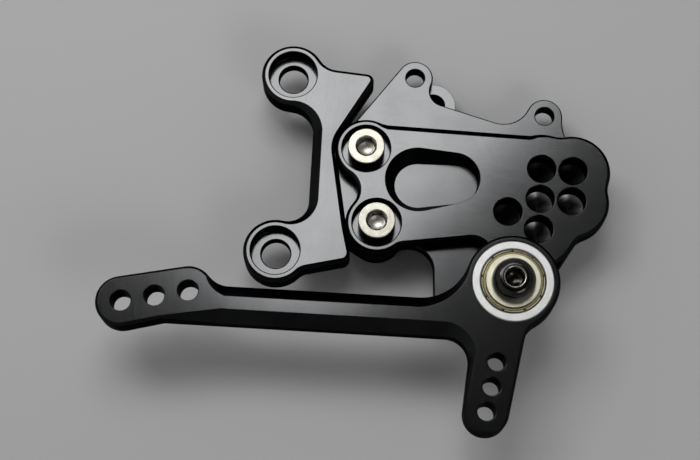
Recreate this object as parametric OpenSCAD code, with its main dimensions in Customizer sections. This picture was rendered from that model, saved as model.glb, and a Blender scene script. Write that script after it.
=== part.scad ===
/* [Frame bolts] */
// Distance between the two frame bolts
frame_bolt_spacing = 65; // [60:0.5:72]
// Lean of the frame bolts' line from upright
frame_bolt_lean = 5; // [2:0.5:8]
// Diameter of a frame bolt's hole
frame_hole_d = 10.2; // [8.4:0.1:11]
// Diameter of a frame bolt's counterbore
frame_counterbore_d = 17; // [15:0.1:18]
// Depth of a frame bolt's counterbore
frame_counterbore_depth = 5.5; // [3:0.1:7]
// Outer radius of a frame bolt's boss
frame_boss_r = 11.2; // [10.5:0.1:12.5]

/* [Frame bracket] */
// Thickness of the bracket
bracket_t = 10; // [9:0.1:12]
// Distance from the frame bolts' middle to the stem's inner edge
stem_inner_x = 9.4; // [7:0.1:11]
// Width of the wide bevel along the stem
stem_bevel = 3.3; // [1.5:0.1:3.8]
// Bevel round the rest of the bracket
bracket_bevel = 1.2; // [0.6:0.1:1.5]
// Fillet from the upper boss into the stem
upper_fillet = 9; // [7:0.5:11]
// Fillet from the lower boss into the stem
lower_fillet = 7.5; // [5:0.5:9]
// Fillet from the upper boss into the top edge
shoulder_fillet = 8; // [6:0.5:10]
// Fillet from the lower boss into the bottom edge
heel_fillet = 5; // [3:0.5:7]
// Thickness of the tongue behind the back plate
tongue_t = 7; // [5:0.1:9]
// Edge distance round the tongue's threads
tongue_r = 9.5; // [8:0.1:10.5]
// Radius of the tongue's root under the stem
root_r = 3; // [2:0.1:3.4]
// Diameter of the tongue's rear eye
eye_d = 16; // [13:0.5:17]
// Diameter of the hole in the rear eye
eye_hole_d = 8; // [6:0.1:9]

/* [Clamp bolts] */
// Distance between the two clamp bolts
clamp_spacing = 27.2; // [25:0.2:30]
// Lean of the clamp bolts' line from upright
clamp_lean = 7.5; // [4:0.5:10]
// Thread diameter of a clamp bolt
clamp_d = 8; // [6:1:9]
// Diameter of a clamp bolt's head
clamp_head_d = 13; // [12:0.1:15]
// Height of a clamp bolt's head
clamp_head_h = 8; // [6:0.1:9]
// Width across the flats of a clamp bolt's socket
clamp_socket = 6; // [5:0.5:7]
// Diameter of a clamp bolt's counterbore
clamp_counterbore_d = 17; // [15.5:0.1:18]
// Depth of a clamp bolt's counterbore
clamp_counterbore_depth = 5; // [3:0.1:6.5]
// Outer radius of a clamp bolt's boss
clamp_boss_r = 11; // [10.2:0.1:12]

/* [Plates] */
// Thickness of the back plate
back_t = 6; // [4:0.1:8]
// Thickness of the peg plate
peg_t = 8; // [7.5:0.1:11]
// Small bevel round the back plate
back_bevel = 0.4; // [0.2:0.1:0.8]
// Wide bevel along the peg plate's upper edge
peg_upper_bevel = 2.3; // [1:0.1:2.6]
// Bevel round the peg plate's bosses and lobes
peg_bevel = 1.1; // [0.6:0.1:1.3]
// Bevel along the peg plate's lower edge
peg_lower_bevel = 0.6; // [0.3:0.1:1]
// Radius of the plates round the lever's pivot
pivot_lobe_r = 10; // [9:0.1:11]
// Radius of an ear of the back plate
ear_r = 6.4; // [5.5:0.1:8]
// Diameter of the hole in an ear
ear_hole_d = 6.6; // [5:0.1:8]
// Radius of the hooked cut-out in the back plate
cutout_r = 8.7; // [6:0.1:9]

/* [Peg holes] */
// Distance between neighbouring peg holes
peg_pitch = 11; // [10.6:0.1:12]
// Tilt of the rows of peg holes
peg_tilt = -4.5; // [-8:0.5:0]
// Diameter of a peg hole
peg_hole_d = 10; // [8:0.1:10.2]
// Radius of the plate's lobe round a corner peg hole
peg_lobe_r = 13.2; // [12:0.1:14]

/* [Slot] */
// Radius of the slot's front end at the top face
slot_front_r = 11.6; // [10:0.1:12]
// Radius of the slot's rear end at the top face
slot_rear_r = 9.3; // [8:0.1:10]
// Distance between the centres of the slot's ends
slot_length = 12.5; // [10:0.5:14]
// How far the slot's wall leans in at the front end
slot_lean_in = 3.8; // [1:0.1:5]

/* [Lever] */
// Thickness of the lever
lever_t = 10; // [8.5:0.1:12]
// Gap between the peg plate and the lever
lever_gap = 3; // [2.5:0.1:8]
// Wall of the lever's hub round the bearing
hub_wall = 2; // [1.2:0.1:4]
// Width of the lip that stops the bearing in the hub
hub_lip = 1.4; // [0.8:0.1:2.5]
// Distance from the pivot to the outermost toe hole
toe_reach = 132; // [120:1:145]
// Angle of the toe holes below level
toe_drop = 2.9; // [1:0.1:4]
// Distance between neighbouring toe holes
toe_pitch = 11.4; // [10:0.1:12]
// Angle of the row of toe holes
toe_row = 8.7; // [4:0.1:11]
// Diameter of a toe hole
toe_hole_d = 6.8; // [5:0.1:8]
// Radius of the toe pad
toe_pad_r = 8.6; // [7.5:0.1:9.5]
// Width of the bevel along the long arm
arm_bevel = 4.3; // [2:0.1:4.6]
// Small bevel round the hub, the pad and the short arm
lever_bevel = 0.9; // [0.4:0.1:1.1]
// Distance from the pivot to the nearest rod hole
rod_reach = 28.2; // [27:0.1:34]
// Distance between neighbouring rod holes
rod_pitch = 8.5; // [7.5:0.1:10]
// Angle of the short arm from upright
rod_lean = 12.8; // [8:0.2:18]
// Diameter of a rod hole
rod_hole_d = 6; // [4:0.1:7]
// Radius of the short arm's end
rod_end_r = 7.6; // [6.5:0.1:9]

/* [Bearing] */
// Outer diameter of the bearing
bearing_d = 28; // [27:0.1:28.4]
// Bore of the bearing
bearing_bore = 12; // [11:0.1:12.6]
// Width of the bearing
bearing_w = 8; // [7.4:0.1:8.2]
// Gap between the two rings, as a share of the bearing's wall
race_share = 0.24; // [0.18:0.01:0.3]
// Diameter of a ball, as a share of the bearing's section
ball_share = 0.475; // [0.4:0.005:0.5]
// Number of balls
ball_count = 9; // [7:1:11]
// Thickness of a shield
shield_t = 0.5; // [0.3:0.05:0.8]

/* [Pivot] */
// Thread diameter of the pivot screw
pivot_d = 8; // [6:1:9]
// Diameter of the pivot screw's head
button_d = 15; // [13:0.1:16]
// Height of the pivot screw's head
button_h = 5.9; // [3.5:0.1:6.5]
// Width across the flats of the pivot screw's socket
button_socket = 5.5; // [4:0.5:6]
// Diameter of the flat round the socket
button_flat_d = 8.2; // [7.2:0.1:9]
// How far the pivot washer reaches past the inner ring's edge
washer_over = 0.2; // [-1:0.1:0.3]
// Thickness of the pivot washer
washer_t = 0.5; // [0.3:0.1:3]
// How far the sleeve's collar stops short of the inner ring's edge
collar_step = 1.1; // [0.6:0.1:2]
// Width across the flats of the pivot nut
nut_af = 13; // [12:0.1:15]

/* [Fits] */
// Gap beside a screw in its clearance hole
screw_gap = 0.25; // [0.1:0.05:0.5]
// Gap beside a screw in its thread
thread_gap = 0.05; // [0.03:0.01:0.1]
// Gap beside a seated ring
seat_gap = 0.02; // [0.01:0.01:0.05]
// Gap between the bracket and the plates beside it
side_gap = 0.25; // [0.2:0.05:0.6]
// Gap between a ball and its races
ball_gap = 0.2; // [0.15:0.05:0.3]
// Gap between a shield and the inner ring
shield_gap = 0.3; // [0.2:0.05:0.5]

/* [Hidden] */
$fn = 96;

black = "#1d1e21";
steel = "#c9c5b8";
dark_steel = "#2b2a29";
brass = "#8d845a";

// Places in the plane of the plates, from the middle of the frame bolts
function polar(r, a) = [r * cos(a), r * sin(a)];
frame_up = 90 - frame_bolt_lean;
upper_frame_bolt = polar(frame_bolt_spacing / 2, frame_up);
lower_frame_bolt = -upper_frame_bolt;
clamp_middle = [30.6, -8.9];
clamp_up = 90 + clamp_lean;
upper_clamp = clamp_middle + polar(clamp_spacing / 2, clamp_up);
lower_clamp = clamp_middle - polar(clamp_spacing / 2, clamp_up);
first_ear = [46.7, 33.9];
second_ear = [93, 19.3];
rear_eye = [53.4, 25.5];
pivot = [78, -46.5];
first_peg = [90.4, -3];

// A peg hole's centre from its column and row
function peg_at(column, row) =
    first_peg + column * polar(peg_pitch, peg_tilt) + row * polar(peg_pitch, peg_tilt - 90);
PEGS = [[0, 0], [1, 0], [0, 1], [1, 1], [-1, 1.5], [0, 2]];

// Levels, with the bracket's back face at zero
peg_top = bracket_t;
peg_low = peg_top - peg_t;
back_low = peg_low - back_t;
base = back_low - tongue_t;
lever_low = peg_top + lever_gap;
lever_top = lever_low + lever_t;
bearing_low = lever_top - bearing_w;
washer_top = lever_top + washer_t;
head_seat = peg_top - clamp_counterbore_depth;
frame_seat = bracket_t - frame_counterbore_depth;
overlap = 0.5;

// The outlines are belts drawn tight round circles [x, y, radius, bevel in, bevel out],
// taken counter-clockwise. A negative radius is a hollow that the belt bends into.
step_angle = 9;
function circle_of(p, r, in, out) = [p.x, p.y, r, in, is_undef(out) ? in : out];
function centre(c) = [c[0], c[1]];
function bounded(v) = min(1, max(-1, v));

// Angle of the outward normal along the straight run from circle c to circle d
function run_normal(c, d) =
    let (v = centre(d) - centre(c))
    atan2(v.y, v.x) - acos(bounded((c[2] - d[2]) / norm(v)));
function turned(a) = a - 360 * floor(a / 360);

// Turn made on a circle, anticlockwise when it stands out and clockwise when it is a hollow
function turn_on(c, from, to) =
    let (t = c[2] > 0 ? turned(to - from) : -turned(from - to))
    t > 330 ? t - 360 : (t < -330 ? t + 360 : t);

// Stations along a belt: [x, y, radius, normal angle, bevel]
function stations_on(c, from, to) =
    let (t = turn_on(c, from, to), n = max(1, ceil(abs(t) / step_angle)))
    [for (k = [0:n]) [c[0], c[1], c[2], from + t * k / n, c[3] + (c[4] - c[3]) * k / n]];
function belt(list) =
    let (n = len(list))
    [for (i = [0:n - 1])
        each stations_on(
            list[i],
            run_normal(list[(i + n - 1) % n], list[i]),
            run_normal(list[i], list[(i + 1) % n])
        )];

// A station's point, moved inwards
function inset(s, by) = centre(s) + polar(s[2] - by, s[3]);
function spread(list) =
    let (n = len(list))
    [for (i = [0:n - 1])
        if (norm(inset(list[i], 0) - inset(list[(i + n - 1) % n], 0)) > 0.05) list[i]];

// Centre of a round hollow that touches two circles, left of the way from a to b
function nestle(a, ra, b, rb, r) =
    let (
        d = norm(b - a), u = (b - a) / d, m = [-u.y, u.x],
        x = (d * d + pow(ra + r, 2) - pow(rb + r, 2)) / (2 * d)
    )
    a + u * x + m * sqrt(max(0, pow(ra + r, 2) - x * x));

// Centre of a round hollow that touches a circle and the edge through q in direction t,
// with the hollow on that edge's left
function beside(a, ra, q, t, r, side) =
    let (u = polar(1, t), m = [-u.y, u.x], h = (q - a) * m + r)
    a + m * h + u * side * sqrt(max(0, pow(ra + r, 2) - h * h));

// A closed ring with a three-cornered section that planes a bevel along a belt.
// Its section's corners are given for each station as [outset, height]
module planing_ring(stations, sections) {
    n = len(stations);
    points = [
        for (k = [0:2], i = [0:n - 1])
            [each inset(stations[i], -sections[i][k][0]), sections[i][k][1]]
    ];
    sides = [
        for (k = [0:2], i = [0:n - 1])
            let (j = (i + 1) % n, p = k * n, q = (k + 1) % 3 * n)
            each [[p + i, q + i, q + j], [p + i, q + j, p + j]]
    ];
    polyhedron(points, sides);
}

// A flat plate with a small bevel below and the belt's own bevel above
module bevelled_plate(list, low, high, edge) {
    s = spread(belt(list));
    m = overlap;
    difference() {
        slab(list, low, high);
        planing_ring(s, [for (p = s) [[m, high - p[4] - m], [m, high + m], [-p[4] - m, high + m]]]);
        planing_ring(s, [for (p = s) [[-edge - m, low - m], [m, low - m], [m, low + edge + m]]]);
    }
}

// A flat slab with upright walls inside a belt
module slab(list, low, high) {
    translate([0, 0, low])
        linear_extrude(high - low)
            polygon([for (s = spread(belt(list))) inset(s, 0)]);
}

// A hole at p from low to high with a small chamfer at its upper mouth
module drilled(p, d, low, high, chamfer = 0.4) {
    translate([p.x, p.y, low - overlap])
        cylinder(d = d, h = high - low + 2 * overlap);
    translate([p.x, p.y, high - chamfer])
        cylinder(d1 = d, d2 = d + 4 * chamfer, h = 2 * chamfer);
}

// The cone that a drill of diameter d leaves below a blind hole whose wall ends at top
module drill_point(p, d, top) {
    deep = d / 2 / tan(59);
    translate([p.x, p.y, top - deep])
        cylinder(d1 = 0, d2 = d * (1 + overlap / deep), h = deep + overlap, $fn = 48);
}

// Frame bracket: a C-shaped plate whose tongue runs behind the plates
bracket_corner_r = 2.6;
foot_corner_r = 3.2;
top_corner = [29, 30.2];
foot_corner = [19.8, -33.4];
top_edge = [24, 33.6];
top_edge_tilt = -7;
foot_edge = [13.7, -37.9];
foot_edge_tilt = 189.5;
stem_tilt = 87;
hollow_r = clamp_boss_r + side_gap;
root_back = hollow_r + side_gap + root_r;
root_along = [7, 4];
function from_clamps(p, along, back) = p + polar(along, clamp_up) + polar(back, clamp_up + 90);

function bracket_outline() =
    let (
        stem = [stem_inner_x, 0],
        b1 = bracket_bevel,
        b2 = stem_bevel,
        upper = beside(upper_frame_bolt, frame_boss_r, stem, stem_tilt, upper_fillet, -1),
        lower = beside(lower_frame_bolt, frame_boss_r, stem, stem_tilt, lower_fillet, 1),
        heel = beside(lower_frame_bolt, frame_boss_r, foot_edge, foot_edge_tilt, heel_fillet, -1),
        shoulder = beside(upper_frame_bolt, frame_boss_r, top_edge, top_edge_tilt, shoulder_fillet, 1)
    )
    [
        circle_of(upper_frame_bolt, frame_boss_r, b1),
        circle_of(upper, -upper_fillet, b1, b2),
        circle_of(lower, -lower_fillet, b2, b1),
        circle_of(lower_frame_bolt, frame_boss_r, b1),
        circle_of(heel, -heel_fillet, b1),
        circle_of(foot_corner, foot_corner_r, b1, 1),
        circle_of(lower_clamp, -hollow_r, 1),
        circle_of(upper_clamp, -hollow_r, 1),
        circle_of(top_corner, bracket_corner_r, b1),
        circle_of(shoulder, -shoulder_fillet, b1)
    ];

upper_root = from_clamps(upper_clamp, -root_along[0], root_back);
lower_root = from_clamps(lower_clamp, root_along[1], root_back);
function tongue_outline() = [
    circle_of(rear_eye, eye_d / 2, 0),
    circle_of(upper_clamp, tongue_r, 0),
    circle_of(upper_root, root_r, 0),
    circle_of(lower_root, root_r, 0),
    circle_of(lower_clamp, tongue_r, 0)
];
function root_outline() = [
    circle_of(upper_root, root_r, 0),
    circle_of(lower_root, root_r, 0)
];

module frame_bracket() {
    color(black)
        difference() {
            union() {
                bevelled_plate(bracket_outline(), 0, bracket_t, 0.4);
                slab(tongue_outline(), base, back_low);
                slab(root_outline(), back_low - overlap, overlap);
            }
            for (p = [upper_frame_bolt, lower_frame_bolt]) {
                drilled(p, frame_hole_d, 0, frame_seat, 0.3);
                drilled(p, frame_counterbore_d, frame_seat + overlap, bracket_t, 0.3);
            }
            for (p = [upper_clamp, lower_clamp])
                drilled(p, clamp_d + 2 * thread_gap, base, back_low, 0.3);
            drilled(rear_eye, eye_hole_d, base, back_low, 0.3);
        }
}

// Back plate: a thin plate with two ears, held between the tongue and the peg plate
back_edge = [66, 20.2];
back_edge_tilt = -18.6;
cutout = [43.6, -37.5];
leg_corner = [55.3, -50];
leg_corner_r = 3;
back_clamp_r = clamp_boss_r - 0.1;

function back_outline() =
    let (
        b = back_bevel,
        valley_r = 9.9,
        neck_r = 5.5,
        flare_r = 16,
        tail_r = 9,
        valley = beside(second_ear, ear_r, back_edge, back_edge_tilt, valley_r, -1),
        neck = beside(first_ear, ear_r, back_edge, back_edge_tilt, neck_r, 1),
        flare = nestle(second_ear, ear_r, peg_at(1, 0), tail_r, flare_r)
    )
    [
        circle_of(first_ear, ear_r, b),
        circle_of(upper_clamp, back_clamp_r, b),
        circle_of(lower_clamp, back_clamp_r, b),
        circle_of(cutout, -cutout_r, b),
        circle_of(leg_corner, leg_corner_r, b),
        circle_of(pivot, pivot_lobe_r, b),
        circle_of(peg_at(1, 1), tail_r, b),
        circle_of(peg_at(1, 0), tail_r, b),
        circle_of(flare, -flare_r, b),
        circle_of(second_ear, ear_r, b),
        circle_of(valley, -valley_r, b),
        circle_of(neck, -neck_r, b)
    ];

module back_plate() {
    color(black)
        difference() {
            bevelled_plate(back_outline(), back_low, peg_low, back_bevel);
            for (p = [first_ear, second_ear])
                drilled(p, ear_hole_d, back_low, peg_low, 0.3);
            for (p = [upper_clamp, lower_clamp])
                drilled(p, clamp_d + 2 * screw_gap, back_low, peg_low, 0.1);
            drilled(pivot, pivot_d + 2 * screw_gap, back_low, peg_low, 0.1);
            for (p = PEGS)
                drill_point(peg_at(p[0], p[1]), peg_hole_d, peg_low);
        }
}

// Peg plate: the thick plate on top, with the slot and the peg holes
peg_upper_offset = peg_lobe_r - 0.5;
peg_lower_edge = [55, -28.5];
peg_lower_tilt = 185.3;
slot_front = [47, -6.8];
slot_tilt = 2.3;
slot_rear = slot_front + polar(slot_length, slot_tilt);

function peg_outline() =
    let (
        b = peg_bevel,
        low = peg_lower_bevel,
        wide = peg_upper_bevel,
        crest_bevel = (b + wide) / 2,
        r = peg_lobe_r,
        dip = 8,
        waist_r = 7,
        heel_r = 6,
        throat_r = 7.3,
        brow_r = 12.4,
        flank_r = 12,
        edge = first_peg + polar(peg_upper_offset, peg_tilt + 90),
        throat = beside(pivot, pivot_lobe_r, peg_lower_edge, peg_lower_tilt, throat_r, 1),
        heel = beside(lower_clamp, clamp_boss_r, peg_lower_edge, peg_lower_tilt, heel_r, -1),
        brow = beside(upper_clamp, clamp_boss_r, edge, peg_tilt, brow_r, 1),
        crest = beside(first_peg, r, edge, peg_tilt, dip, -1)
    )
    [
        circle_of(upper_clamp, clamp_boss_r, b),
        circle_of(nestle(lower_clamp, clamp_boss_r, upper_clamp, clamp_boss_r, waist_r), -waist_r, b),
        circle_of(lower_clamp, clamp_boss_r, b),
        circle_of(heel, -heel_r, b, low),
        circle_of(throat, -throat_r, low),
        circle_of(pivot, pivot_lobe_r, low),
        circle_of(nestle(peg_at(0, 2), r, pivot, pivot_lobe_r, flank_r), -flank_r, low, b),
        circle_of(peg_at(0, 2), r, b),
        circle_of(nestle(peg_at(1, 1), r, peg_at(0, 2), r, dip), -dip, b),
        circle_of(peg_at(1, 1), r, b),
        circle_of(nestle(peg_at(1, 0), r, peg_at(1, 1), r, dip), -dip, b),
        circle_of(peg_at(1, 0), r, b),
        circle_of(nestle(peg_at(0, 0), r, peg_at(1, 0), r, dip), -dip, b),
        circle_of(peg_at(0, 0), r, b, crest_bevel),
        circle_of(crest, -dip, crest_bevel, wide),
        circle_of(brow, -brow_r, wide, b)
    ];

// The slot narrows towards the back, most at its front end
module slot() {
    lean = slot_lean_in;
    hull() {
        for (e = [[slot_front, slot_front_r, 0, lean], [slot_rear, slot_rear_r, lean / 2, 2 * lean / 3]]) {
            translate([e[0].x, e[0].y, peg_top])
                cylinder(r = e[1], h = overlap, $fn = 64);
            translate([e[0].x + e[2], e[0].y, peg_low - overlap])
                cylinder(r = e[1] - e[3], h = overlap, $fn = 64);
        }
    }
}

module peg_plate() {
    color(black)
        difference() {
            bevelled_plate(peg_outline(), peg_low, peg_top, 0.3);
            slot();
            for (p = [upper_clamp, lower_clamp]) {
                drilled(p, clamp_d + 2 * screw_gap, peg_low, head_seat, 0.1);
                drilled(p, clamp_counterbore_d, head_seat + overlap, peg_top, 0.3);
            }
            for (p = PEGS)
                drilled(peg_at(p[0], p[1]), peg_hole_d, peg_low, peg_top, 0.2);
            drilled(pivot, pivot_d + 2 * screw_gap, peg_low, peg_top, 0.1);
        }
}

// A six-sided socket with a chamfered mouth and a drill's cone at its bottom
module socket(flats, top, depth) {
    mouth = 0.8;
    drill = 0.94 * flats;
    lap = 0.03;
    translate([0, 0, top - depth])
        cylinder(d = flats / cos(30), h = depth + overlap, $fn = 6);
    translate([0, 0, top - depth - drill / 4])
        cylinder(d1 = 0, d2 = drill + 4 * lap, h = drill / 4 + lap);
    translate([0, 0, top - mouth])
        cylinder(d1 = flats, d2 = flats + 6 * mouth, h = 3 * mouth);
}

// Socket-head bolt with a chamfered rim, its seat under the head at zero
module clamp_bolt(p) {
    rim = 0.3;
    point = 1;
    reach = head_seat - base - 0.5;
    color(steel)
        translate([p.x, p.y, head_seat])
            difference() {
                rotate_extrude()
                    polygon([
                        [0, -reach], [clamp_d / 2 - point, -reach], [clamp_d / 2, point - reach],
                        [clamp_d / 2, 0], [clamp_head_d / 2 - rim / 3, 0],
                        [clamp_head_d / 2, rim / 3], [clamp_head_d / 2, clamp_head_h - rim],
                        [clamp_head_d / 2 - rim, clamp_head_h], [0, clamp_head_h]
                    ]);
                socket(clamp_socket, clamp_head_h, clamp_head_h / 2);
            }
}
module upper_clamp_bolt() { clamp_bolt(upper_clamp); }
module lower_clamp_bolt() { clamp_bolt(lower_clamp); }

// Shift lever: a long arm to the toe pad and a short arm for the shift rod
toe_end = polar(toe_reach, 180 + toe_drop);
function toe_at(i) = toe_end + i * polar(toe_pitch, toe_row);
rod_angle = 270 - rod_lean;
function rod_at(i) = polar(rod_reach + i * rod_pitch, rod_angle);
arm_half = 6.5;
arm_fall = -3.4;
arm_middle = [-50, -10.1];
arm_upper = arm_middle + polar(arm_half, arm_fall + 90);
arm_lower = arm_middle + polar(arm_half, arm_fall - 90);
elbow_along = 27.5;
bend_along = 67;
bend_length = 19;
hub_r = bearing_d / 2 + hub_wall;

function lever_outline() =
    let (
        b = lever_bevel,
        w = arm_bevel,
        crook_r = 16,
        brow_r = 8,
        elbow_r = 8.1,
        armpit_r = 9,
        bend_r = 4,
        elbow = arm_lower + polar(elbow_along, arm_fall) + polar(elbow_r, arm_fall - 90),
        crook = beside([0, 0], hub_r, arm_upper, arm_fall, crook_r, -1),
        brow = beside(toe_at(2), toe_pad_r, arm_upper, arm_fall, brow_r, 1),
        rod_end = rod_at(2),
        side = rod_end + polar(rod_end_r, rod_angle + 90),
        armpit = beside([0, 0], hub_r, side, rod_angle, armpit_r, 1),
        bend = arm_lower - polar(bend_along, arm_fall) + polar(bend_r, arm_fall - 90)
    )
    [
        circle_of([0, 0], hub_r, b),
        circle_of(crook, -crook_r, b, w),
        circle_of(brow, -brow_r, w, b),
        circle_of(toe_at(2), toe_pad_r, b),
        circle_of(toe_end, toe_pad_r, b),
        circle_of(bend, -bend_r, b),
        circle_of(bend + polar(bend_length, arm_fall), -bend_r, w),
        circle_of(elbow, -elbow_r, w, 2 * b),
        circle_of(rod_end, rod_end_r, b),
        circle_of(armpit, -armpit_r, b)
    ];

module shift_lever() {
    color(black)
        translate([pivot.x, pivot.y, 0])
            difference() {
                bevelled_plate(lever_outline(), lever_low, lever_top, 0.4);
                translate([0, 0, bearing_low])
                    cylinder(r = bearing_d / 2 + seat_gap, h = bearing_w + overlap);
                translate([0, 0, lever_low - overlap])
                    cylinder(r = bearing_d / 2 - hub_lip, h = lever_t);
                for (i = [0:2]) {
                    drilled(toe_at(i), toe_hole_d, lever_low, lever_top, 0.3);
                    drilled(rod_at(i), rod_hole_d, lever_low, lever_top, 0.3);
                }
            }
}

// Deep-groove ball bearing between the lever's hub and the sleeve
race_middle = bearing_low + bearing_w / 2;
pitch_r = (bearing_d + bearing_bore) / 4;
ring_wall = (bearing_d - bearing_bore) / 2;
race_gap = race_share * ring_wall;
inner_ring_r = pitch_r - race_gap / 2;
outer_ring_r = pitch_r + race_gap / 2;
ball_d = ball_share * sqrt(ring_wall * bearing_w);
groove_r = ball_d / 2 + ball_gap;
ring_edge = 0.4;
shield_seat = 0.4;

// Section of a ring with small edge bevels, its groove cut by a round wire
module ring(inner, outer) {
    translate([pivot.x, pivot.y, bearing_low])
        difference() {
            rotate_extrude()
                polygon([
                    [inner + ring_edge, 0], [outer - ring_edge, 0], [outer, ring_edge],
                    [outer, bearing_w - ring_edge], [outer - ring_edge, bearing_w],
                    [inner + ring_edge, bearing_w], [inner, bearing_w - ring_edge],
                    [inner, ring_edge]
                ]);
            translate([0, 0, bearing_w / 2])
                rotate_extrude()
                    translate([pitch_r, 0])
                        circle(r = groove_r, $fn = 48);
        }
}
module bearing_outer_ring() { color(steel) ring(outer_ring_r, bearing_d / 2); }
module bearing_inner_ring() { color(steel) ring(bearing_bore / 2, inner_ring_r); }

// A shield is pressed into the outer ring and stops short of the inner ring
module shield(low) {
    color(brass)
        translate([pivot.x, pivot.y, low])
            difference() {
                cylinder(r = outer_ring_r - seat_gap, h = shield_t);
                translate([0, 0, -overlap])
                    cylinder(r = inner_ring_r + shield_gap, h = shield_t + 2 * overlap);
            }
}
module bearing_front_shield() { shield(lever_top - shield_seat - shield_t); }
module bearing_rear_shield() { shield(bearing_low + shield_seat); }

module bearing_balls() {
    color(steel)
        translate([pivot.x, pivot.y, race_middle])
            for (i = [0:ball_count - 1])
                rotate([0, 0, i * 360 / ball_count])
                    translate([pitch_r, 0, 0])
                        sphere(d = ball_d, $fn = 32);
}

// Cage ring with a round window for each ball
module bearing_cage() {
    wall = race_gap / 4;
    window = ball_d / 2 + ball_gap;
    rim = (bearing_w / 2 - shield_seat - shield_t - window) / 2;
    color(brass)
        translate([pivot.x, pivot.y, race_middle])
            difference() {
                translate([0, 0, -window - rim])
                    cylinder(r = pitch_r + wall, h = 2 * (window + rim));
                translate([0, 0, -window - rim - overlap])
                    cylinder(r = pitch_r - wall, h = 2 * (window + rim + overlap));
                for (i = [0:ball_count - 1])
                    rotate([0, 90, i * 360 / ball_count])
                        cylinder(r = window, h = outer_ring_r, $fn = 32);
            }
}

// Sleeve: its collar spaces the bearing off the peg plate and its shank fills the bore
module pivot_sleeve() {
    color(steel)
        translate([pivot.x, pivot.y, peg_top])
            difference() {
                union() {
                    cylinder(r = inner_ring_r - collar_step, h = bearing_low - peg_top);
                    cylinder(r = bearing_bore / 2 - seat_gap, h = lever_top - peg_top);
                }
                translate([0, 0, -overlap])
                    cylinder(d = pivot_d + 2 * screw_gap, h = lever_top - peg_top + 2 * overlap);
            }
}

module pivot_washer() {
    edge = washer_t / 4;
    r = inner_ring_r + washer_over;
    bore = pivot_d / 2 + screw_gap;
    color(steel)
        translate([pivot.x, pivot.y, lever_top])
            rotate_extrude()
                polygon([
                    [bore, 0], [r, 0], [r, washer_t - edge], [r - edge, washer_t], [bore, washer_t]
                ]);
}

// Domed screw through the sleeve and both plates into the nut
module pivot_screw() {
    reach = washer_top - base - 0.5;
    flat = button_flat_d / 2;
    side = 0.8;
    steps = 8;
    dome = [
        for (k = [0:steps])
            [flat + (button_d / 2 - flat) * sin(90 * k / steps),
             side + (button_h - side) * cos(90 * k / steps)]
    ];
    color(dark_steel)
        translate([pivot.x, pivot.y, washer_top])
            difference() {
                rotate_extrude()
                    polygon(concat(
                        [[0, button_h]],
                        dome,
                        [[button_d / 2, 0], [pivot_d / 2, 0], [pivot_d / 2, 1 - reach],
                         [pivot_d / 2 - 1, -reach], [0, -reach]]
                    ));
                socket(button_socket, button_h, 2 * button_h / 3);
            }
}

module pivot_nut() {
    corner = nut_af / cos(30);
    color(steel)
        translate([pivot.x, pivot.y, base])
            difference() {
                intersection() {
                    cylinder(d = corner, h = back_low - base, $fn = 6);
                    cylinder(d1 = nut_af, d2 = nut_af + 2 * (back_low - base), h = back_low - base);
                }
                translate([0, 0, -overlap])
                    cylinder(d = pivot_d + 2 * thread_gap, h = back_low - base + 2 * overlap);
            }
}

frame_bracket();
back_plate();
peg_plate();
upper_clamp_bolt();
lower_clamp_bolt();
shift_lever();
bearing_outer_ring();
bearing_inner_ring();
bearing_front_shield();
bearing_rear_shield();
bearing_balls();
bearing_cage();
pivot_sleeve();
pivot_washer();
pivot_screw();
pivot_nut();
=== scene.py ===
# %% [markdown]
# # A rear set: four black plates, two bright bolts and a lever on a ball bearing
# This lesson dresses a packed part. Every plate, bolt and ring already has its true shape
# and place, so nothing is moved here. What is left for Blender is the finish: how anodised
# aluminium takes the light, how ground and turned steel differ from it, and the curled edge
# of the bearing's shield, which is too fine for the part's source.

import math

import bmesh
import bpy
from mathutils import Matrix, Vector


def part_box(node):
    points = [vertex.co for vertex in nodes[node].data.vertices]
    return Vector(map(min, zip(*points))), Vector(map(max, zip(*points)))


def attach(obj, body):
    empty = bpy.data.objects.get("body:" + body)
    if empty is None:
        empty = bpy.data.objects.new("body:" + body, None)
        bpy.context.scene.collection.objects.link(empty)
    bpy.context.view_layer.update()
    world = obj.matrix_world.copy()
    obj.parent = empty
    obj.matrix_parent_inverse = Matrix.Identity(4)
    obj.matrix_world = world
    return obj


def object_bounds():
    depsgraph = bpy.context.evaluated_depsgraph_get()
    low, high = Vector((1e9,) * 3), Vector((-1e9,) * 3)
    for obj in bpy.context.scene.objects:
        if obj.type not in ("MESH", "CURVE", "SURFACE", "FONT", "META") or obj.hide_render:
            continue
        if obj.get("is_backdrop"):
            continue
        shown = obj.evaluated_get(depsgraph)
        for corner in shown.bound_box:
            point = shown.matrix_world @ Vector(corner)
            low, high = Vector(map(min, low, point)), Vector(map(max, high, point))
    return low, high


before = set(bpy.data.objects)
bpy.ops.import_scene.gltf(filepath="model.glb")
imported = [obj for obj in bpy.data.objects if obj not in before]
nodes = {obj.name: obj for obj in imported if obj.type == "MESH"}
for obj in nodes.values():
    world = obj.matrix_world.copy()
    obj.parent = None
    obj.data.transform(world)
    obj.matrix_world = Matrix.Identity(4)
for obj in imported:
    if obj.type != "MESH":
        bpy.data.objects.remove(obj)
low_corner, high_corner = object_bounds()
cad_box = [list(low_corner), list(high_corner)]
print("pieces of the part:", len(nodes))

# %% [markdown]
# Blender works in metres and the part was drawn in millimetres, so one helper turns the
# one into the other. The places below come from the packed pieces themselves: the pivot of
# the lever and the two clamp bolts are the centres that turned surfaces go round.

# %% Units and places
MM = 0.001


def mm(*values):
    """A place written in millimetres, as a vector in metres."""
    return Vector([value * MM for value in values])


def middle_of(node):
    """The middle of a node's box."""
    low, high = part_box(node)
    return (low + high) / 2


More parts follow.
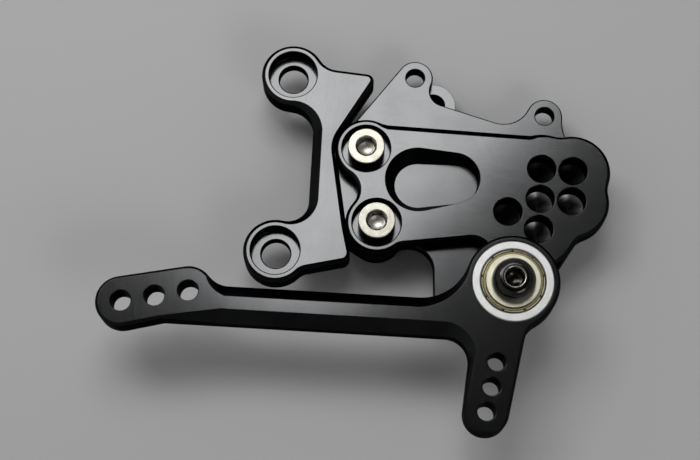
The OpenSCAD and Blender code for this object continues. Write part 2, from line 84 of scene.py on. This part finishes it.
PIVOT = middle_of("bearing_outer_ring")
UPPER_BOLT = middle_of("upper_clamp_bolt")
LOWER_BOLT = middle_of("lower_clamp_bolt")
BENCH_Z = cad_box[0][2]
print("pivot in mm:", [round(c / MM, 2) for c in PIVOT])
print("bench's height in mm:", round(BENCH_Z / MM, 2))

# %% [markdown]
# The photograph looks down on the part from a little below its middle. The camera stands
# where the known widths of the bearing and of the two bolt heads say, so the picture plane,
# the tilt and the perspective come out as they were. A long lens keeps the plates square.

# %% Camera
IMAGE_WIDTH_PX = 700
FOCAL_PX = 1600
SENSOR_MM = 36.0
CAMERA_PLACE = mm(23.1, -171.8, 545.8)
CAMERA_TILT = math.radians(15.3)
NEAREST_M = 0.02
FARTHEST_M = 20

camera_data = bpy.data.cameras.new("camera")
camera_data.sensor_width = SENSOR_MM
camera_data.lens = FOCAL_PX / IMAGE_WIDTH_PX * SENSOR_MM
camera_data.clip_start = NEAREST_M
camera_data.clip_end = FARTHEST_M
camera = bpy.data.objects.new("camera", camera_data)
camera.location = CAMERA_PLACE
camera.rotation_euler = (CAMERA_TILT, 0, 0)
bpy.context.scene.collection.objects.link(camera)
bpy.context.scene.camera = camera
print("lens", round(camera_data.lens, 1), "mm")

# %% [markdown]
# The bench is a plain pale sheet. It could be a thick slab, but one square face is enough,
# because only its upper side is ever seen. It lies exactly where the part's lowest faces
# are, so the contact shadows start at the metal.

# %% Bench
BENCH_HALF = 3.0
BENCH_GREY = 0.60
BENCH_COLOUR = (BENCH_GREY, BENCH_GREY, BENCH_GREY * 1.01, 1)
BENCH_ROUGHNESS = 0.6


def new_material(name):
    """A new material, with its node tree and its shader."""
    material = bpy.data.materials.new(name)
    material.use_nodes = True
    shader = material.node_tree.nodes["Principled BSDF"]
    return material, material.node_tree, shader


bench_mesh = bpy.data.meshes.new("bench")
bench_corners = [(-1, -1), (1, -1), (1, 1), (-1, 1)]
bench_points = [(x * BENCH_HALF, y * BENCH_HALF, BENCH_Z) for x, y in bench_corners]
bench_mesh.from_pydata(bench_points, [], [(0, 1, 2, 3)])
bench = bpy.data.objects.new("bench", bench_mesh)
bpy.context.scene.collection.objects.link(bench)
bench_material, _, bench_shader = new_material("pale_bench")
bench_shader.inputs["Base Color"].default_value = BENCH_COLOUR
bench_shader.inputs["Roughness"].default_value = BENCH_ROUGHNESS
bench_mesh.materials.append(bench_material)
bench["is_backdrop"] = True
print("bench", BENCH_HALF * 2, "m square")

# %% [markdown]
# A flat satin face shows whatever hangs straight above it, and a bevel shows what stands
# round the room. In the photograph the flats go from pale grey at the upper left to nearly
# black at the lower right, along a slanting line, and the bevels stay black. That is the
# mirror image of one large window, turned by an eighth. So the room has a nearly black
# ceiling, which the flats show wherever the window's image ends, and even grey walls that
# are brighter on the window's side. It could be a picture of a real room, but two ramps
# say the same and can be read.

# %% Room
# Each stop is the height on the sky's sphere, 0 level and 1 overhead, and its brightness
ROOM_STOPS = ((0.0, 0.28), (0.68, 0.28), (0.84, 0.04), (1.0, 0.03))
# How bright the walls are on the side away from the window and on the window's side
ROOM_SIDES = (0.65, 1.35)
BRIGHT_SIDE = Vector((-0.80, 0.60, 0))
SIDE_REACH = 0.7

world = bpy.data.worlds.new("studio")
world.use_nodes = True
bpy.context.scene.world = world
room = world.node_tree
direction = room.nodes.new("ShaderNodeTexCoord")
upward = room.nodes.new("ShaderNodeSeparateXYZ")
walls = room.nodes.new("ShaderNodeValToRGB")
walls.color_ramp.interpolation = "EASE"
while len(walls.color_ramp.elements) < len(ROOM_STOPS):
    walls.color_ramp.elements.new(0.5)
for stop, (height, brightness) in zip(walls.color_ramp.elements, ROOM_STOPS):
    stop.position = height
    stop.color = (brightness, brightness, brightness, 1)
room.links.new(direction.outputs["Generated"], upward.inputs[0])
room.links.new(upward.outputs["Z"], walls.inputs["Fac"])
sideways = room.nodes.new("ShaderNodeVectorMath")
sideways.operation = "DOT_PRODUCT"
sideways.inputs[1].default_value = BRIGHT_SIDE
side_light = room.nodes.new("ShaderNodeMapRange")
side_light.inputs["From Min"].default_value = -SIDE_REACH
side_light.inputs["From Max"].default_value = SIDE_REACH
side_light.inputs["To Min"].default_value = ROOM_SIDES[0]
side_light.inputs["To Max"].default_value = ROOM_SIDES[1]
room.links.new(direction.outputs["Generated"], sideways.inputs[0])
room.links.new(sideways.outputs["Value"], side_light.inputs["Value"])
background = room.nodes["Background"]
room.links.new(walls.outputs["Color"], background.inputs["Color"])
room.links.new(side_light.outputs["Result"], background.inputs["Strength"])
print("room's brightness from level to overhead:", [stop[1] for stop in ROOM_STOPS])

# %% [markdown]
# Three soft lamps stand in this room. The window hangs above, face down, and gives the flats
# their slanting edge. A lamp at the left puts the soft patch on the dome of the pivot screw.
# A card at the front right is what the cones at the bottom of the peg holes mirror. A lamp's
# power is worked out from how bright its face should look, so its size can change without
# changing that.

# %% Lamps
WINDOW_PLACE = Vector((-0.008, 0.501, 1.0))
WINDOW_SIZE = (0.573, 0.502)
WINDOW_TURN_DEG = 45
WINDOW_RADIANCE = 3.55
LAMP_DISTANCE = 0.9
SIDE_LAMP = PIVOT + Vector((-0.47, 0.42, 0.78)) * LAMP_DISTANCE
SIDE_LAMP_SIZE = (0.30, 0.30)
SIDE_LAMP_RADIANCE = 4.5
FRONT_CARD = PIVOT + Vector((0.43, -0.62, 0.65)) * LAMP_DISTANCE
FRONT_CARD_SIZE = (0.42, 0.34)
FRONT_CARD_RADIANCE = 2.4


def softbox(name, place, size, radiance, turn_deg=0, aim=None):
    """A soft rectangular lamp, face down or aimed. Its power follows from how bright it looks."""
    lamp = bpy.data.lights.new(name, "AREA")
    lamp.shape = "RECTANGLE"
    lamp.size, lamp.size_y = size
    lamp.energy = radiance * math.pi * size[0] * size[1]
    lamp_object = bpy.data.objects.new(name, lamp)
    lamp_object.location = place
    lamp_object.rotation_euler = (0, 0, math.radians(turn_deg))
    if aim is not None:
        lamp_object.rotation_euler = (aim - place).to_track_quat("-Z", "Y").to_euler()
    bpy.context.scene.collection.objects.link(lamp_object)


softbox("window", WINDOW_PLACE, WINDOW_SIZE, WINDOW_RADIANCE, turn_deg=WINDOW_TURN_DEG)
softbox("side_lamp", SIDE_LAMP, SIDE_LAMP_SIZE, SIDE_LAMP_RADIANCE, aim=PIVOT)
softbox("front_card", FRONT_CARD, FRONT_CARD_SIZE, FRONT_CARD_RADIANCE, aim=PIVOT)
bpy.context.scene.view_settings.view_transform = "Standard"

# %% [markdown]
# A packed piece arrives as triangles whose flat faces and round walls are cut apart. On the
# real part each corner is broken by a hair's width, and that hair catches the light as a
# thin line. Modifiers can give both without moving a point of the mesh: weld the cuts, join
# flat triangles into whole faces, round the sharp corners, and weight the normals by area so
# that flats stay flat. A bevel that may not overlap shrinks to nothing on such fine corners,
# so that limit is off. The cones that the drill left in the peg holes aren't smoothed: at its
# tip a smoothed cone looks straight up and mirrors the window. The bolts' sockets keep that
# bright spot, because the photograph has it too.

# %% Break the edges of the packed pieces
SHARP_ANGLE = math.radians(28)
# The rim of a socket's cone is blunter than any other corner
SOCKET_ANGLE = math.radians(20)
FLAT_ANGLE = math.radians(0.3)
WELD_DISTANCE = 0.002 * MM
CORNER_SEGMENTS = 2
# The upward part of a drilled cone's normal lies between these two
CONE_SLOPES = (0.82, 0.93)
CORNER_WIDTHS_MM = {
    "frame_bracket": 0.12,
    "back_plate": 0.1,
    "peg_plate": 0.12,
    "shift_lever": 0.12,
    "upper_clamp_bolt": 0.1,
    "lower_clamp_bolt": 0.1,
    "pivot_screw": 0.08,
    "pivot_nut": 0.1,
    "pivot_washer": 0.1,
    "pivot_sleeve": 0.08,
    "bearing_outer_ring": 0.12,
    "bearing_inner_ring": 0.1,
    "bearing_front_shield": 0.06,
    "bearing_rear_shield": 0.06,
}
WITH_SOCKET = ("upper_clamp_bolt", "lower_clamp_bolt", "pivot_screw")
WITH_CONES = ("back_plate",)


def break_edges(piece, width_mm, sharp_angle, has_cones):
    """Rounds the sharp corners of a packed piece by modifiers."""
    bpy.context.view_layer.objects.active = piece
    bpy.ops.mesh.customdata_custom_splitnormals_clear()
    for face in piece.data.polygons:
        on_cone = CONE_SLOPES[0] < face.normal.z < CONE_SLOPES[1]
        face.use_smooth = not (has_cones and on_cone)
    weld = piece.modifiers.new("weld", "WELD")
    weld.merge_threshold = WELD_DISTANCE
    flatten = piece.modifiers.new("flatten", "DECIMATE")
    flatten.decimate_type = "DISSOLVE"
    flatten.angle_limit = FLAT_ANGLE
    corner = piece.modifiers.new("corner", "BEVEL")
    corner.width = width_mm * MM
    corner.segments = CORNER_SEGMENTS
    corner.limit_method = "ANGLE"
    corner.angle_limit = sharp_angle
    corner.use_clamp_overlap = False
    corner.harden_normals = False
    normals = piece.modifiers.new("normals", "WEIGHTED_NORMAL")
    normals.weight = 100
    normals.keep_sharp = True


for node_name, corner_width in CORNER_WIDTHS_MM.items():
    angle = SOCKET_ANGLE if node_name in WITH_SOCKET else SHARP_ANGLE
    break_edges(nodes[node_name], corner_width, angle, node_name in WITH_CONES)
print("edges broken on", len(CORNER_WIDTHS_MM), "pieces")

# %% [markdown]
# A material here is a small graph of nodes. The helpers below are its verbs: put a node in,
# set its sockets, join two of them. Each returns the socket that the next verb needs, so a
# recipe reads from top to bottom.

# %% Helpers for recipes
EDGE_LEAN = (0.995, 0.9)
EDGE_SAMPLES = 4


class Recipe:
    """A material being mixed: its node tree, its shader and short verbs to add nodes."""

    def __init__(self, name):
        self.material, self.tree, self.shader = new_material(name)

    def add(self, kind, **sockets):
        """Puts a node in and feeds the sockets that are named."""
        node = self.tree.nodes.new(kind)
        for socket, value in sockets.items():
            self.feed(node.inputs[socket.replace("_", " ")], value)
        return node

    def feed(self, socket, value):
        """Links another node's output to a socket, or sets a plain value on it."""
        if isinstance(value, bpy.types.NodeSocket):
            self.tree.links.new(value, socket)
        else:
            socket.default_value = value

    def place(self, offset=(0, 0, 0), turn_deg=0.0, stretch=(1, 1, 1)):
        """The point on the piece, moved, turned in the plane and stretched."""
        point = self.add("ShaderNodeTexCoord").outputs["Object"]
        node = self.add("ShaderNodeMapping", Vector=point)
        node.vector_type = "TEXTURE"
        node.inputs["Location"].default_value = offset
        node.inputs["Rotation"].default_value = (0, 0, math.radians(turn_deg))
        node.inputs["Scale"].default_value = stretch
        return node.outputs["Vector"]

    def noise(self, vector, size_mm, detail=2.0, roughness=0.5):
        """Soft random grey, in patches of about that size."""
        node = self.add("ShaderNodeTexNoise", Vector=vector)
        node.inputs["Scale"].default_value = 1 / (size_mm * MM)
        node.inputs["Detail"].default_value = detail
        node.inputs["Roughness"].default_value = roughness
        return node.outputs["Fac"]

    def ramp(self, value, low, high, start=0.0, end=1.0):
        """Start where the value is low, end where it is high, straight between and held beyond."""
        node = self.add("ShaderNodeMapRange", Value=value)
        node.inputs["From Min"].default_value = low
        node.inputs["From Max"].default_value = high
        node.inputs["To Min"].default_value = start
        node.inputs["To Max"].default_value = end
        return node.outputs["Result"]

    def math(self, operation, first, second=0.0):
        """One step of arithmetic."""
        node = self.add("ShaderNodeMath")
        node.operation = operation
        self.feed(node.inputs[0], first)
        self.feed(node.inputs[1], second)
        return node.outputs["Value"]

    def mixed(self, first, share, second):
        """Two greys together, the first at its share and the second at the rest."""
        first_part = self.math("MULTIPLY", first, share)
        second_part = self.math("MULTIPLY", second, 1 - share)
        return self.math("ADD", first_part, second_part)

    def blend(self, share, first, second):
        """The first colour where the share is 0, the second where it is 1."""
        node = self.add("ShaderNodeMix")
        node.data_type = "RGBA"
        self.feed(node.inputs["Factor"], share)
        self.feed(node.inputs["A"], first)
        self.feed(node.inputs["B"], second)
        return node.outputs["Result"]

    def facing_up(self, start=0.97, end=0.995):
        """1 where the face looks straight out along the plates, 0 on bevels and walls."""
        normal = self.add("ShaderNodeNewGeometry").outputs["True Normal"]
        split = self.add("ShaderNodeSeparateXYZ", Vector=normal)
        return self.ramp(self.math("ABSOLUTE", split.outputs["Z"]), start, end)

    def worn_and_highlight_edge(self, width_mm):
        """1 along the corners, from how far the rounded normal leans off the true one."""
        rounded = self.add("ShaderNodeBevel")
        rounded.samples = EDGE_SAMPLES
        rounded.inputs["Radius"].default_value = width_mm * MM
        true = self.add("ShaderNodeNewGeometry").outputs["Normal"]
        lean = self.add("ShaderNodeVectorMath")
        lean.operation = "DOT_PRODUCT"
        self.feed(lean.inputs[0], rounded.outputs["Normal"])
        self.feed(lean.inputs[1], true)
        return self.ramp(lean.outputs["Value"], *EDGE_LEAN)

    def radius_from(self, centre):
        """Distance from an upright axis through centre, in metres."""
        moved = self.place(offset=(centre[0], centre[1], 0))
        flat = self.add("ShaderNodeVectorMath")
        flat.operation = "MULTIPLY"
        self.feed(flat.inputs[0], moved)
        flat.inputs[1].default_value = (1, 1, 0)
        length = self.add("ShaderNodeVectorMath")
        length.operation = "LENGTH"
        self.feed(length.inputs[0], flat.outputs["Vector"])
        return length.outputs["Value"]

    def turned_lines(self, centre, pitch_mm):
        """Fine rings of a lathe round an upright axis, with a little unevenness."""
        rings = self.add("ShaderNodeTexNoise")
        rings.noise_dimensions = "1D"
        self.feed(rings.inputs["W"], self.radius_from(centre))
        rings.inputs["Scale"].default_value = 1 / (pitch_mm * MM)
        rings.inputs["Detail"].default_value = 2
        return rings.outputs["Fac"]

    def bump(self, height, strength, depth_mm):
        """Shallow relief that tilts the light and moves no point."""
        node = self.add("ShaderNodeBump", Height=height)
        node.inputs["Strength"].default_value = strength
        node.inputs["Distance"].default_value = depth_mm * MM
        self.feed(self.shader.inputs["Normal"], node.outputs["Normal"])


print("recipe verbs:", len([verb for verb in vars(Recipe) if not verb.startswith("_")]))

# %% [markdown]
# Black anodising is a clear, dyed skin of oxide on aluminium. It mirrors the room like a dark
# metal and keeps the lines of the mill under it, where a plain black would look like plastic.
# So this recipe is a dark metal. Its grey changes a little across the plate, a grain along
# the plate roughens the gloss, a shallow bump gives the mill's lines, and a pale line runs
# along the corners: bare metal where they have rubbed through, and a painted highlight on
# the edges. The bevels and walls are painted far darker than the flats, a painted shade for
# the dark room that they mirror. Any metal goes bright where it is seen at a low angle, so
# the bevels' tint holds that rim down, a painted shade on their reflection. In three of the
# peg holes the cone that the drill left is painted paler, a painted highlight.

# %% Black anodised aluminium
FLAT_DARK = (0.114, 0.117, 0.119)
FLAT_PALE = (0.141, 0.143, 0.145)
# Painted shade: bevels and walls are far darker than the flats, for the dark room they mirror
BEVEL_SHADE_DARK = (0.014, 0.0145, 0.0155, 1)
BEVEL_SHADE_PALE = (0.026, 0.027, 0.0285, 1)
# Pale corner line: bare metal rubbed through, and a painted highlight along the edges
RUBBED_AND_HIGHLIGHT = (0.30, 0.285, 0.25, 1)
# Painted highlight on the cones of three peg holes
CONE_HIGHLIGHT_PALE = (0.28, 0.28, 0.272, 1)
# Painted shade on the reflection of bevels and walls
BEVEL_REFLECTION_SHADE = (0.15, 0.15, 0.15, 1)
PLAIN_TINT = (1, 1, 1, 1)
WALL_ROUGHNESS = 0.42
CLOUD_MM = 14
STREAK_MM = 0.35
STREAK_STRETCH = (22, 1, 1)
SPECK_MM = 0.22
RUB_AND_HIGHLIGHT = 0.5
RUB_AND_HIGHLIGHT_WIDTH_MM = 0.16
RUB_AND_HIGHLIGHT_PATCH_MM = 2.5
MILL_BUMP = {"strength": 0.12, "depth_mm": 0.014}
CONE_R = 4.95 * MM
CONE_POLISH = -0.16
HIGHLIGHTED_CONES = (mm(89.54, -13.97, 0), mm(100.50, -14.83, 0), mm(88.67, -24.93, 0))


def anodised(name, grain_deg, flat_roughness=0.155, bevel_roughness=0.15, depth=1.0, cones=()):
    """The black finish of a plate, grain at an angle, painted highlight on cones round centres."""
    mix = Recipe(name)
    cloud = mix.noise(mix.place(), CLOUD_MM, detail=3)
    along = mix.place(turn_deg=grain_deg, stretch=STREAK_STRETCH)
    streak = mix.noise(along, STREAK_MM, detail=3, roughness=0.6)
    speck = mix.noise(mix.place(), SPECK_MM, detail=1)
    shade = mix.ramp(mix.mixed(cloud, 0.6, streak), 0.35, 0.65)
    flat = mix.facing_up()
    # Painted highlight: a paler colour on the cones round the listed centres
    cone_highlight = 0.0
    for centre in cones:
        disc = mix.ramp(mix.radius_from(centre), CONE_R, CONE_R * 0.98)
        cone_highlight = mix.math("ADD", cone_highlight, disc)
    cone = mix.math("SUBTRACT", mix.facing_up(0.80, 0.84), flat)
    cone_highlight = mix.math("MULTIPLY", cone_highlight, cone)

    flat_dark = [level * depth for level in FLAT_DARK] + [1]
    flat_pale = [level * depth for level in FLAT_PALE] + [1]
    # The darker colour of bevels and walls is painted shade
    bevel_painted_shade = mix.blend(shade, BEVEL_SHADE_DARK, BEVEL_SHADE_PALE)
    flat_skin = mix.blend(shade, flat_dark, flat_pale)
    skin = mix.blend(cone_highlight, mix.blend(flat, bevel_painted_shade, flat_skin), CONE_HIGHLIGHT_PALE)
    # Along the corners: rubbed bare metal and a painted highlight
    patches = mix.ramp(mix.noise(mix.place(), RUB_AND_HIGHLIGHT_PATCH_MM), 0.3, 0.7, 0.25, 1)
    rubbed_and_highlight = mix.math("MULTIPLY", mix.worn_and_highlight_edge(RUB_AND_HIGHLIGHT_WIDTH_MM), patches)
    rubbed_and_highlight = mix.math("MULTIPLY", rubbed_and_highlight, RUB_AND_HIGHLIGHT)
    mix.feed(mix.shader.inputs["Base Color"], mix.blend(rubbed_and_highlight, skin, RUBBED_AND_HIGHLIGHT))

    gloss = mix.ramp(mix.facing_up(0.5, 0.65), 0, 1, WALL_ROUGHNESS, bevel_roughness)
    gloss = mix.math("ADD", gloss, mix.ramp(flat, 0, 1, 0, flat_roughness - bevel_roughness))
    gloss = mix.math("ADD", gloss, mix.ramp(cone_highlight, 0, 1, 0, CONE_POLISH))
    grain = mix.ramp(mix.math("ADD", streak, speck), 0.7, 1.3, -0.02, 0.02)
    mix.feed(mix.shader.inputs["Roughness"], mix.math("ADD", gloss, grain))
    mix.shader.inputs["Metallic"].default_value = 1.0
    # The bevels' tint dims their reflection, a painted shade
    mix.feed(mix.shader.inputs["Specular Tint"], mix.blend(flat, BEVEL_REFLECTION_SHADE, PLAIN_TINT))
    relief = mix.math("ADD", streak, mix.math("MULTIPLY", speck, 0.5))
    mix.bump(relief, **MILL_BUMP)
    return mix.material


def paint(node_name, material):
    """Gives a packed piece its finish."""
    mesh = nodes[node_name].data
    mesh.materials.clear()
    mesh.materials.append(material)


back_finish = {"flat_roughness": 0.18, "bevel_roughness": 0.42, "cones": HIGHLIGHTED_CONES}
paint("frame_bracket", anodised("bracket_black", 84))
paint("back_plate", anodised("back_plate_black", 2, **back_finish))
paint("peg_plate", anodised("peg_plate_black", -4))
paint("shift_lever", anodised("lever_black", 90, depth=0.8))
print("black plates:", [m.name for m in bpy.data.materials if m.name.endswith("black")])

# %% [markdown]
# The two clamp bolts are stainless steel: turned on a lathe, so their heads carry fine
# rings, and a little warm in tone. The grain is a noise that depends only on the distance
# from the bolt's axis. Steel is metallic, so its colour is the colour of its reflections.
# The upright walls of heads, sockets and the other turned pieces get a dark painted shade,
# and the cone at the bottom of a socket is the palest part, a painted highlight. One recipe
# serves all the turned pieces, and the bearing's shields use it with a ring of painted shade
# where the sheet is folded.

# %% Bright bolts
STEEL_WARM = (0.42, 0.405, 0.345, 1)
STEEL_DULL = (0.34, 0.33, 0.285, 1)
# Painted shade on the upright walls of turned pieces
STEEL_WALL_SHADE = (0.075, 0.07, 0.06, 1)
# Painted shade in the fold under the shield's curl, seen as dark ticks in its slits
FOLD_SHADE = (0.006, 0.005, 0.004, 1)
FOLD_SOFT = 0.04 * MM
# Painted highlight on the cone at the bottom of a socket
SOCKET_CONE_HIGHLIGHT = (0.86, 0.83, 0.72, 1)
DRILLED_DULL = 0.14
STAIN_MM = 3.0
LATHE_BUMP = {"strength": 0.06, "depth_mm": 0.01}


def turned_steel(
    name, centre, bright=STEEL_WARM, dull=STEEL_DULL, roughness=0.24, pitch_mm=0.22, fold=None
):
    """Steel with a lathe's rings round one axis, and painted shade between two radii of a fold."""
    mix = Recipe(name)
    rings = mix.turned_lines(centre, pitch_mm)
    stain = mix.noise(mix.place(), STAIN_MM, detail=3)
    tone = mix.mixed(rings, 0.4, stain)
    face = mix.blend(mix.ramp(tone, 0.38, 0.62), dull, bright)
    drilled = mix.math("SUBTRACT", mix.facing_up(0.80, 0.86), mix.facing_up(0.95, 0.99))
    # The cone's pale colour is a painted highlight
    face = mix.blend(drilled, face, SOCKET_CONE_HIGHLIGHT)
    # A ring of painted shade where the sheet is folded
    if fold:
        middle = (fold[0] + fold[1]) / 2
        half = (fold[1] - fold[0]) / 2
        off_fold = mix.math("ABSOLUTE", mix.math("SUBTRACT", mix.radius_from(centre), middle))
        face = mix.blend(mix.ramp(off_fold, half, half - FOLD_SOFT), face, FOLD_SHADE)
    # Upright walls get the painted shade
    skin = mix.blend(mix.facing_up(0.45, 0.65), STEEL_WALL_SHADE, face)
    mix.feed(mix.shader.inputs["Base Color"], skin)
    polish = mix.ramp(tone, 0.3, 0.7, roughness + 0.06, roughness - 0.04)
    polish = mix.math("ADD", polish, mix.ramp(drilled, 0, 1, 0, DRILLED_DULL))
    mix.feed(mix.shader.inputs["Roughness"], polish)
    mix.shader.inputs["Metallic"].default_value = 1.0
    mix.bump(rings, **LATHE_BUMP)
    return mix.material


paint("upper_clamp_bolt", turned_steel("upper_bolt_steel", UPPER_BOLT))
paint("lower_clamp_bolt", turned_steel("lower_bolt_steel", LOWER_BOLT))
paint("pivot_nut", turned_steel("nut_steel", PIVOT, roughness=0.3))
bolt_low, bolt_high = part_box("upper_clamp_bolt")
print("bolt heads span", round((bolt_high - bolt_low).x / MM, 1), "mm")

# %% [markdown]
# The bearing's outer ring is ground, not turned: its face has a fine, even, cloudy satin
# that looks almost white beside the black. Its shield is thin pressed sheet with a yellow
# passivated skin. The washer is turned bright, and warm like the bolts.

# %% Bearing, washer and sleeve
RING_PALE = (0.95, 0.95, 0.93, 1)
RING_GREY = (0.78, 0.785, 0.78, 1)
SHIELD_PALE = (0.42, 0.37, 0.19, 1)
SHIELD_DARK = (0.24, 0.21, 0.11, 1)
WASHER_PALE = (0.93, 0.90, 0.72, 1)
WASHER_DULL = (0.80, 0.77, 0.62, 1)
GRIND_MM = 0.25
GRIND_STRETCH = (3, 1, 1)
GRIND_DEG = 35
GRIND_CLOUD_MM = 4.0
GRIND_BUMP = {"strength": 0.2, "depth_mm": 0.01}
SHIELD_FOLD = (10.10 * MM, 11.0 * MM)


def ground_steel(name):
    """Satin steel with a fine cross grain from a grinding stone."""
    mix = Recipe(name)
    across = mix.place(turn_deg=GRIND_DEG, stretch=GRIND_STRETCH)
    fine = mix.noise(across, GRIND_MM, detail=3, roughness=0.7)
    cloud = mix.noise(mix.place(), GRIND_CLOUD_MM, detail=2)
    shade = mix.ramp(mix.mixed(fine, 0.6, cloud), 0.38, 0.62)
    mix.feed(mix.shader.inputs["Base Color"], mix.blend(shade, RING_GREY, RING_PALE))
    mix.feed(mix.shader.inputs["Roughness"], mix.ramp(fine, 0.3, 0.7, 0.54, 0.44))
    mix.shader.inputs["Metallic"].default_value = 1.0
    mix.bump(fine, **GRIND_BUMP)
    return mix.material


ring_steel = ground_steel("ring_steel")
for ring in ("bearing_outer_ring", "bearing_inner_ring", "bearing_balls"):
    paint(ring, ring_steel)
brass = {"bright": SHIELD_PALE, "dull": SHIELD_DARK, "roughness": 0.26, "pitch_mm": 0.4}
shield_skin = turned_steel("shield_brass", PIVOT, **brass)
fold_shaded_skin = turned_steel("shield_brass_fold_shade", PIVOT, fold=SHIELD_FOLD, **brass)
paint("bearing_cage", shield_skin)
for shield in ("bearing_front_shield", "bearing_rear_shield"):
    paint(shield, fold_shaded_skin)
washer_skin = turned_steel("washer_steel", PIVOT, WASHER_PALE, WASHER_DULL, roughness=0.44)
paint("pivot_washer", washer_skin)
paint("pivot_sleeve", turned_steel("sleeve_steel", PIVOT, roughness=0.3))
print("bearing finishes:", ring_steel.name, shield_skin.name)

# %% [markdown]
# The pivot screw has a black oxide skin: thinner and glossier than anodising, with a brown
# tint, and polished where the key and the fingers touch it. A bright ring of colour is put
# round its socket.

# %% Pivot screw
OXIDE = (0.038, 0.037, 0.035, 1)
OXIDE_PALE = (0.058, 0.056, 0.053, 1)
RIM_BRIGHT = (0.72, 0.68, 0.58, 1)
SOCKET_RIM_R = 3.60 * MM
SOCKET_RIM_WIDTH = 0.26 * MM
OXIDE_RINGS_MM = 0.3
OXIDE_CLOUD_MM = 1.6
OXIDE_BUMP = {"strength": 0.03, "depth_mm": 0.01}


def oxide_screw(name):
    """Glossy black steel with a bright ring of colour round the socket."""
    mix = Recipe(name)
    rings = mix.turned_lines(PIVOT, OXIDE_RINGS_MM)
    cloud = mix.noise(mix.place(), OXIDE_CLOUD_MM, detail=3)
    skin = mix.blend(mix.ramp(cloud, 0.35, 0.65), OXIDE, OXIDE_PALE)
    off_rim = mix.math("ABSOLUTE", mix.math("SUBTRACT", mix.radius_from(PIVOT), SOCKET_RIM_R))
    rim = mix.ramp(off_rim, SOCKET_RIM_WIDTH, SOCKET_RIM_WIDTH * 0.6)
    mix.feed(mix.shader.inputs["Base Color"], mix.blend(rim, skin, RIM_BRIGHT))
    gloss = mix.ramp(mix.math("ADD", rings, cloud), 0.7, 1.3, 0.13, 0.18)
    mix.feed(mix.shader.inputs["Roughness"], gloss)
    mix.shader.inputs["Metallic"].default_value = 1.0
    mix.bump(rings, **OXIDE_BUMP)
    return mix.material


paint("pivot_screw", oxide_screw("screw_oxide"))
print("pieces painted:", len([n for n in nodes.values() if n.data.materials]))

# %% [markdown]
# The outer edge of the shield is curled over and snapped into a groove of the ring. So that
# it can spring, the curl is slit at nine places, which the photograph shows as nine short
# ticks. It could be drawn with a bump, but a bump casts no shadow and leaves no shape in the
# mesh. So each of the nine parts is an oval section led along its arc, with a gap after it.

# %% Curled edge of the bearing shield
CURL_COUNT = 9
CURL_RADIUS = 10.5 * MM
CURL_HALF = (0.27 * MM, 0.24 * MM)
CURL_SLIT = 0.6 * MM
CURL_FIRST = math.radians(10)
CURL_STEPS = 20
CURL_SIDES = 12
SHIELD_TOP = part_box("bearing_front_shield")[1].z


def curl(shape, start, end):
    """One part of the curled edge: an oval section led round the pivot, with closed ends."""
    loops = []
    for step in range(CURL_STEPS + 1):
        around = start + (end - start) * step / CURL_STEPS
        loop = []
        for side in range(CURL_SIDES):
            angle = 2 * math.pi * side / CURL_SIDES
            out = CURL_RADIUS + CURL_HALF[0] * math.cos(angle)
            rise = CURL_HALF[1] * math.sin(angle)
            place = (PIVOT.x + out * math.cos(around), PIVOT.y + out * math.sin(around))
            loop.append(shape.verts.new((*place, SHIELD_TOP + rise)))
        loops.append(loop)
    for before, after in zip(loops, loops[1:]):
        for side in range(CURL_SIDES):
            following = (side + 1) % CURL_SIDES
            corners = (before[side], after[side], after[following], before[following])
            shape.faces.new(corners)
    shape.faces.new(loops[0])
    shape.faces.new(loops[-1][::-1])


def finished(name, shape, material, body):
    """Turns a bmesh into a smooth object that rides on a body."""
    bmesh.ops.recalc_face_normals(shape, faces=shape.faces)
    mesh = bpy.data.meshes.new(name)
    shape.to_mesh(mesh)
    shape.free()
    mesh.polygons.foreach_set("use_smooth", [True] * len(mesh.polygons))
    mesh.materials.append(material)
    piece = bpy.data.objects.new(name, mesh)
    bpy.context.scene.collection.objects.link(piece)
    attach(piece, body)
    return piece


curls = bmesh.new()
turn = 2 * math.pi / CURL_COUNT
slit = CURL_SLIT / CURL_RADIUS
for count in range(CURL_COUNT):
    slit_at = CURL_FIRST + turn * count
    curl(curls, slit_at + slit / 2, slit_at + turn - slit / 2)
shield_curl = finished("shield_curl", curls, shield_skin, "lever")
print("curled edge:", len(shield_curl.data.polygons), "faces")

# %% [markdown]
# Last, the size of the dressed part is printed. A finish adds no size to a hard part, so it
# should match the box of the packed one.

# %% Sizes and finish
low_corner, high_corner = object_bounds()
print("size in mm:", [round((b - a) / MM, 2) for a, b in zip(low_corner, high_corner)])
